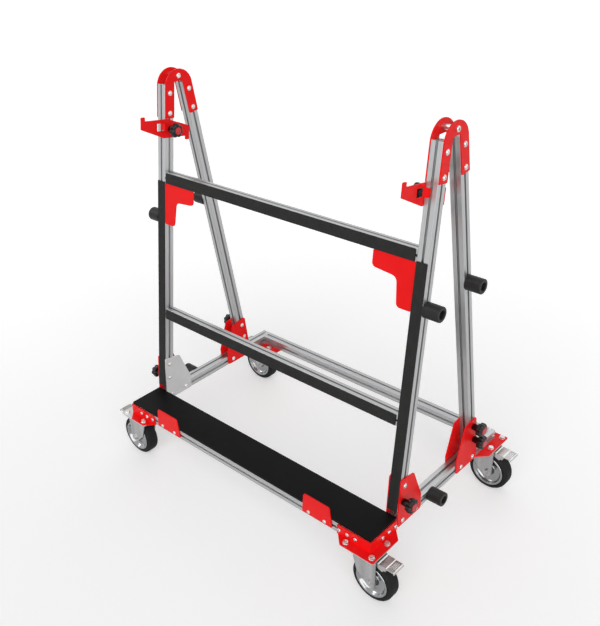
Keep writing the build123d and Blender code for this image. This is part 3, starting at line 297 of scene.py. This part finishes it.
def plastic(name, colour, pale, roughness, specular):
    """Moulded plastic with a fine grain."""
    g = Graph(name)
    g.feed("Base Color", g.blend(g.noise(scale=45, detail=3), colour, pale))
    sheen = g.noise(scale=120, detail=2)
    g.feed("Roughness", g.spread(sheen, low=roughness - 0.05, high=roughness + 0.05))
    g.set(specular=specular)
    g.bump(g.noise(scale=1400, detail=1), distance=0.00003)
    return g.material


# Looks: fine lines run along each profile, and painted bands of highlight and shade run up the forks, standing for
# the relief of their pressed sheet
ALONG = 3.0
ACROSS = 700.0
PAINTED_BANDS = (1, 1, 0.04)
RED = red_paint()
ALUMINIUM_X = aluminium("aluminium_x", (ALONG, ACROSS, ACROSS), (1, 0, 0))
ALUMINIUM_Y = aluminium("aluminium_y", (ACROSS, ALONG, ACROSS), (0, 1, 0))
ALUMINIUM_UPRIGHT = aluminium("aluminium_upright", (ACROSS, ACROSS, ALONG), UP_UPRIGHT, LEAN)
ALUMINIUM_REAR_LEG = aluminium("aluminium_rear_leg", (ACROSS, ACROSS, ALONG), UP_REAR_LEG, -LEAN)
ZINC = metal("zinc", (0.72, 0.71, 0.69), (0.56, 0.555, 0.55), roughness=0.27, grain=18)
# Forks: their tone is drawn out into vertical streaks, painted bands of highlight and shade for the relief of the
# pressed sheet
PRESSED = metal("pressed_zinc", (0.48, 0.48, 0.48), (0.32, 0.32, 0.325),
                roughness=0.30, grain=45, scale=PAINTED_BANDS)
PEDAL = metal("pedal_zinc", (0.53, 0.52, 0.515), (0.42, 0.415, 0.41), roughness=0.32, grain=30)
BARE = metal("bare_steel", (0.60, 0.60, 0.60), (0.54, 0.54, 0.54), roughness=0.42, grain=10)
RIM = metal("wheel_rim", (0.33, 0.335, 0.34), (0.29, 0.295, 0.30), roughness=0.17, grain=25)
PAD = rubber("pad_rubber", (0.019, 0.019, 0.019), (0.024, 0.024, 0.023), grain=900)
TYRE = rubber("tyre", (0.011, 0.011, 0.012), (0.016, 0.016, 0.016), grain=600)
BOARD = board_film()
PLASTIC = plastic("black_plastic", (0.004, 0.004, 0.004), (0.006, 0.006, 0.006),
                  roughness=0.2, specular=0.28)
PEG = plastic("peg_plastic", (0.016, 0.0155, 0.0155), (0.021, 0.0205, 0.0205),
              roughness=0.45, specular=0.18)
CAP = plastic("knob_cap", (0.62, 0.02, 0.03), (0.55, 0.016, 0.025), roughness=0.3, specular=0.4)

PROFILE_LOOKS = {"upright": ALUMINIUM_UPRIGHT, "rear_leg": ALUMINIUM_REAR_LEG,
                 "side_rail": ALUMINIUM_Y, "cross_rail": ALUMINIUM_X}
SLOT_LOOKS = {"red_paint": RED, "board": BOARD, "bare_steel": BARE, "zinc_steel": ZINC,
              "black_plastic": PEG, "pad_rubber": PAD, "tyre": TYRE}


def look_of(node, slot):
    """Material of a CAD node: profiles, forks and pedals go by their names, the rest by their slots."""
    if slot == "profile_aluminium":
        return next(look for part, look in PROFILE_LOOKS.items() if part in node)
    if node.startswith("caster_fork"):
        return PRESSED
    if node.startswith("brake_pedal"):
        return PEDAL
    return SLOT_LOOKS[slot]


def dress_frame():
    """Gives every CAD node its material."""
    for row in frame["record"]["subparts"]:
        look = look_of(row["node"], row["material_slot"])
        for held in frame["nodes"][row["node"]].material_slots:
            held.material = look


# Meshes

def rounded(corners, steps):
    """Closed outline whose corners (x, y, radius) are replaced by arcs of some steps."""
    outline = []
    for i, (x, y, radius) in enumerate(corners):
        here = Vector((x, y))
        if radius == 0:
            outline.append(here)
            continue
        before = (Vector(corners[i - 1][:2]) - here).normalized()
        after = (Vector(corners[(i + 1) % len(corners)][:2]) - here).normalized()
        half = before.angle(after) / 2
        reach = radius / math.tan(half)
        centre = here + (before + after).normalized() * radius / math.sin(half)
        for step in range(steps + 1):
            chord = (here + before * reach).lerp(here + after * reach, step / steps)
            outline.append(centre + (chord - centre).normalized() * radius)
    return outline


def skin(rings, closed=False):
    """Points and faces over rings of equally many points; open ends get caps."""
    count = len(rings[0])
    points = [point for ring in rings for point in ring]
    pairs = [(i, i + 1) for i in range(len(rings) - 1)]
    if closed:
        pairs.append((len(rings) - 1, 0))
    faces = []
    for low, high in pairs:
        for i in range(count):
            j = (i + 1) % count
            faces.append((low * count + i, low * count + j, high * count + j, high * count + i))
    if not closed:
        faces.append(tuple(reversed(range(count))))
        faces.append(tuple(range(len(points) - count, len(points))))
    return points, faces


def circle(radius, height, steps):
    """Ring of points about Z."""
    angles = [2 * math.pi * i / steps for i in range(steps)]
    return [Vector((radius * math.cos(a), radius * math.sin(a), height)) for a in angles]


def axes_at(origin, across, along):
    """Place with its Z along one direction and its X along another, at right angles to it."""
    z = Vector(along).normalized()
    x = Vector(across).normalized()
    turn = Matrix((x, z.cross(x), z)).transposed()
    return Matrix.Translation(origin) @ turn.to_4x4()


def add_object(name, data):
    """New object in the scene."""
    made = bpy.data.objects.new(name, data)
    bpy.context.scene.collection.objects.link(made)
    return made


def add_piece(name, shells, place, material, node):
    """Mesh piece drawn in millimetres at a place, which rides with a CAD node and stands for it."""
    mesh = bpy.data.meshes.new(name)
    points = []
    faces = []
    for shell_points, shell_faces in shells:
        faces += [[i + len(points) for i in face] for face in shell_faces]
        points += [place @ (point * MM) for point in shell_points]
    mesh.from_pydata(points, [], faces)
    work = bmesh.new()
    work.from_mesh(mesh)
    bmesh.ops.recalc_face_normals(work, faces=work.faces)
    work.to_mesh(mesh)
    work.free()
    mesh.shade_smooth()
    mesh.set_sharp_from_angle(angle=SHARP_ANGLE)
    mesh.materials.append(material)
    piece = add_object(name, mesh)
    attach(piece, next(body for body, nodes in BODIES.items() if node in nodes))
    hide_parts(node)


# Wheels

def add_turned(name, half_section, steps, place, material, node):
    """Piece turned about Z from half its section, which is mirrored at the middle."""
    section = [*half_section, *((r, -z, radius) for r, z, radius in reversed(half_section))]
    rings = [circle(point.x, point.y, WHEEL_STEPS) for point in rounded(section, steps)]
    add_piece(name, [skin(rings, closed=True)], place, material, node)


def add_wheel(node):
    """Tyre and dished rim of one caster."""
    joint = JOINT_OF[node]
    place = axes_at(joint["pos_m"], (1, 0, 0), joint["axis"])
    add_turned(f"{node}_tyre", TYRE_SECTION, TYRE_ARC_STEPS, place, TYRE, node)
    add_turned(f"{node}_rim", RIM_SECTION, RIM_ARC_STEPS, place, RIM, node)


# Star knobs

def star(share, height):
    """Ring with lobes about Z, its first lobe along X."""
    ring = []
    for i in range(KNOB_STEPS):
        angle = 2 * math.pi * i / KNOB_STEPS
        lobe = (0.5 + 0.5 * math.cos(KNOB_LOBES * angle)) ** KNOB_LOBE_POWER
        r = share * (KNOB_VALLEY + (KNOB_RADIUS - KNOB_VALLEY) * lobe)
        ring.append(Vector((r * math.cos(angle), r * math.sin(angle), height)))
    return ring


def add_knob(node, sheet, up):
    """Star knob with its stem, stud and press-in cap."""
    joint = JOINT_OF[node]
    place = axes_at(joint["pos_m"], up, joint["axis"])
    body = [circle(radius, sheet + rise, KNOB_STEPS) for radius, rise in KNOB_STEM]
    body += [star(share, sheet + rise) for share, rise in KNOB_HEAD]
    body += [circle(radius, sheet + rise, KNOB_STEPS) for radius, rise in KNOB_RECESS]
    add_piece(f"{node}_body", [skin(body)], place, PLASTIC, node)
    cap = [circle(radius, sheet + rise, KNOB_STEPS) for radius, rise in KNOB_CAP]
    add_piece(f"{node}_cap", [skin(cap)], place, CAP, node)
    stud = list(STUD_TIP)
    for turn in range(THREAD_TURNS):
        crest = THREAD_START + turn * THREAD_PITCH
        stud += [(STUD_RADIUS, crest), (THREAD_ROOT, crest + THREAD_PITCH / 2)]
    stud += [(STUD_RADIUS, STUD_NECK), (STUD_RADIUS, sheet)]
    stud_rings = [circle(radius, height, STUD_STEPS) for radius, height in stud]
    add_piece(f"{node}_stud", [skin(stud_rings)], place, ZINC, node)


def add_knobs():
    """Every star knob, on a foot plate or on a hook."""
    for node in JOINT_OF:
        if node.startswith("foot_knob"):
            add_knob(node, FOOT_PLATE_SHEET, UP_UPRIGHT if "front" in node else UP_REAR_LEG)
        elif node.startswith("hook_knob"):
            add_knob(node, HOOK_SHEET, UP_UPRIGHT)


# Rubber pads

def sweep(section, start, end, inset):
    """Section drawn as (across, inwards) swept along Z, with its ends slightly rounded."""
    middle = Vector((0, sum(point.y for point in section) / len(section)))
    rings = []
    for height, shrink in ((start, inset), (start + inset, 0), (end - inset, 0), (end, inset)):
        ring = []
        for point in section:
            drawn_in = point - (point - middle).normalized() * shrink
            ring.append(Vector((drawn_in.x, drawn_in.y, height)))
        rings.append(ring)
    return skin(rings)


def strip_section():
    """Section of a pad's strip: a low crown between two rounded edges."""
    half = PAD_WIDTH / 2
    edge = rounded([(-half, 0, 0), (-half, PAD_EDGE_DROP - PAD_THICKNESS, PAD_ROUND),
                    (-half * PAD_SHOULDER, PAD_SHOULDER_DROP - PAD_THICKNESS, 0)], PAD_ARC_STEPS)
    left = edge[:-1]
    right = [Vector((-point.x, point.y)) for point in reversed(left)]
    shares = [step / PAD_CROWN_STEPS for step in range(1 - PAD_CROWN_STEPS, PAD_CROWN_STEPS)]
    crown = [Vector((half * share, PAD_CROWN * share ** 2 - PAD_THICKNESS)) for share in shares]
    return left + crown + right


def stem_section():
    """Section of a pad's stem, with a barb behind the lips of the slot."""
    half = PAD_STEM_WIDTH / 2
    barb_half = PAD_BARB_WIDTH / 2
    end = PAD_STEM_DEPTH + PAD_BARB_DEPTH
    return rounded([(-half, 0, 0), (half, 0, 0), (half, PAD_STEM_DEPTH, 0),
                    (barb_half, PAD_STEM_DEPTH, PAD_BARB_ROUND), (half, end, PAD_BARB_ROUND),
                    (-half, end, PAD_BARB_ROUND), (-barb_half, PAD_STEM_DEPTH, PAD_BARB_ROUND),
                    (-half, PAD_STEM_DEPTH, 0)], PAD_BARB_ARC_STEPS)


def add_pad(node, place, start, end, inset=0.0):
    """Rubber strip, drawn in from both ends of the stem in the slot behind it."""
    strip = sweep(strip_section(), start + inset, end - inset, PAD_END_ROUND)
    stem = sweep(stem_section(), start, end, PAD_STEM_END_ROUND)
    add_piece(f"{node}_rubber", [strip, stem], place, PAD, node)


def add_pads():
    """Pads on both uprights and on the two cross rails between them."""
    for side, x in (("left", -SIDE_X), ("right", SIDE_X)):
        node = f"upright_pad_{side}"
        front_foot = FACE_FOOT.z + PAD_THICKNESS * MM * UP_UPRIGHT.y
        front_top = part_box(node)[1].z
        length = (front_top - front_foot) / UP_UPRIGHT.z / MM
        place = axes_at(FACE_FOOT + Vector((x, 0, 0)), (1, 0, 0), UP_UPRIGHT)
        add_pad(node, place, 0, length)
    for name in ("middle", "upper"):
        low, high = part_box(f"{name}_cross_rail")
        rise = ((low + high) / 2 - FACE_FOOT).dot(UP_UPRIGHT)
        place = axes_at(FACE_FOOT + UP_UPRIGHT * rise, -UP_UPRIGHT, (1, 0, 0))
        add_pad(f"{name}_rail_pad", place, low.x / MM, high.x / MM, RAIL_PAD_INSET)


# Camera, floor and light

def add_camera():
    """Camera at the photograph's place, with its roll."""
    ahead = Vector((-math.sin(CAMERA_YAW) * math.cos(CAMERA_PITCH),
                    math.cos(CAMERA_YAW) * math.cos(CAMERA_PITCH),
                    math.sin(CAMERA_PITCH)))
    level = Vector((math.cos(CAMERA_YAW), math.sin(CAMERA_YAW), 0))
    over = level.cross(ahead)
    right = math.cos(CAMERA_ROLL) * level + math.sin(CAMERA_ROLL) * over
    up = math.cos(CAMERA_ROLL) * over - math.sin(CAMERA_ROLL) * level
    data = bpy.data.cameras.new("camera")
    data.sensor_width = SENSOR_MM
    data.lens = FOCAL_PIXELS * SENSOR_MM / PHOTO_LONG_SIDE
    camera = add_object("camera", data)
    turn = Matrix((right, up, -ahead)).transposed()
    camera.matrix_world = Matrix.Translation(CAMERA_PLACE) @ turn.to_4x4()
    bpy.context.scene.camera = camera


def seen_directly(tree):
    """One for rays from the camera, a mirror or glass, nought for the rest."""
    path = tree.nodes.new("ShaderNodeLightPath")
    total = path.outputs["Is Camera Ray"]
    for name in ("Is Glossy Ray", "Is Transmission Ray"):
        either = tree.nodes.new("ShaderNodeMath")
        either.operation = "MAXIMUM"
        tree.links.new(total, either.inputs[0])
        tree.links.new(path.outputs[name], either.inputs[1])
        total = either.outputs["Value"]
    return total


def floor_look():
    """Pale floor with a painted shade that darkens it near its middle; it looks white, glows a little where it is
    seen and throws less light back up.
    """
    g = Graph("floor")
    # Painted shade: the floor's colour darkens towards its middle, by the trolley
    away = g.node("ShaderNodeVectorMath")
    away.operation = "DISTANCE"
    away.inputs[1].default_value = FLOOR_MIDDLE
    g.tree.links.new(g.place, away.inputs[0])
    paler = g.node("ShaderNodeMapRange")
    paler.interpolation_type = "SMOOTHSTEP"
    paler.inputs["From Min"].default_value = FLOOR_NEAR
    paler.inputs["From Max"].default_value = FLOOR_FAR
    g.tree.links.new(away.outputs["Value"], paler.inputs["Value"])
    shade = g.mix(paler.outputs["Result"], FLOOR_NEAR_PAINTED_SHADE, FLOOR_FAR_COLOUR)
    seen = seen_directly(g.tree)
    colour = g.node("ShaderNodeMix")
    colour.data_type = "RGBA"
    colour.inputs["A"].default_value = (*FLOOR_BOUNCE_COLOUR, 1)
    g.tree.links.new(shade, colour.inputs["B"])
    g.tree.links.new(seen, colour.inputs["Factor"])
    g.feed("Base Color", colour.outputs["Result"])
    glow = g.node("ShaderNodeMath")
    glow.operation = "MULTIPLY"
    glow.inputs[1].default_value = FLOOR_GLOW
    g.tree.links.new(seen, glow.inputs[0])
    g.feed("Emission Strength", glow.outputs["Value"])
    g.bsdf.inputs["Emission Color"].default_value = (*WHITE, 1)
    g.set(roughness=FLOOR_ROUGHNESS, specular=0.0)
    return g.material


def add_floor():
    """Square floor under the wheels."""
    corners = [(x * FLOOR_HALF, y * FLOOR_HALF, 0) for x, y in ((-1, -1), (1, -1), (1, 1), (-1, 1))]
    mesh = bpy.data.meshes.new("floor")
    mesh.from_pydata(corners, [], [(0, 1, 2, 3)])
    mesh.materials.append(floor_look())
    add_object("floor", mesh)


def add_lamp(name, source, angle, energy):
    """Wide lamp that shines from the direction of its source."""
    data = bpy.data.lights.new(name, "SUN")
    data.angle = angle
    data.energy = energy
    lamp = add_object(name, data)
    lamp.rotation_euler = (-source).to_track_quat("-Z", "Y").to_euler()
    return lamp


def add_light():
    """Surroundings that look white, a soft key and fill, and two lamps that only show as highlights."""
    world = bpy.data.worlds.new("studio")
    world.use_nodes = True
    tree = world.node_tree
    mix = tree.nodes.new("ShaderNodeMix")
    mix.data_type = "RGBA"
    mix.inputs["A"].default_value = (*WORLD_COLOUR, 1)
    mix.inputs["B"].default_value = (*WHITE, 1)
    tree.links.new(seen_directly(tree), mix.inputs["Factor"])
    tree.links.new(mix.outputs["Result"], tree.nodes["Background"].inputs["Color"])
    bpy.context.scene.world = world
    add_lamp("key", KEY_FROM, KEY_ANGLE, KEY_ENERGY)
    fill = add_lamp("fill", FILL_FROM, FILL_ANGLE, FILL_ENERGY)
    fill.visible_glossy = False
    sheen = add_lamp("sheen", SHEEN_FROM, SHEEN_ANGLE, SHEEN_ENERGY)
    sheen.visible_diffuse = False
    glint = add_lamp("glint", GLINT_FROM, GLINT_ANGLE, GLINT_ENERGY)
    glint.visible_diffuse = False


# The scene

dress_frame()
for corner in ("front_left", "front_right", "rear_left", "rear_right"):
    add_wheel(f"caster_wheel_{corner}")
add_knobs()
add_pads()
add_camera()
add_floor()
add_light()
bpy.context.scene.view_settings.view_transform = "Standard"
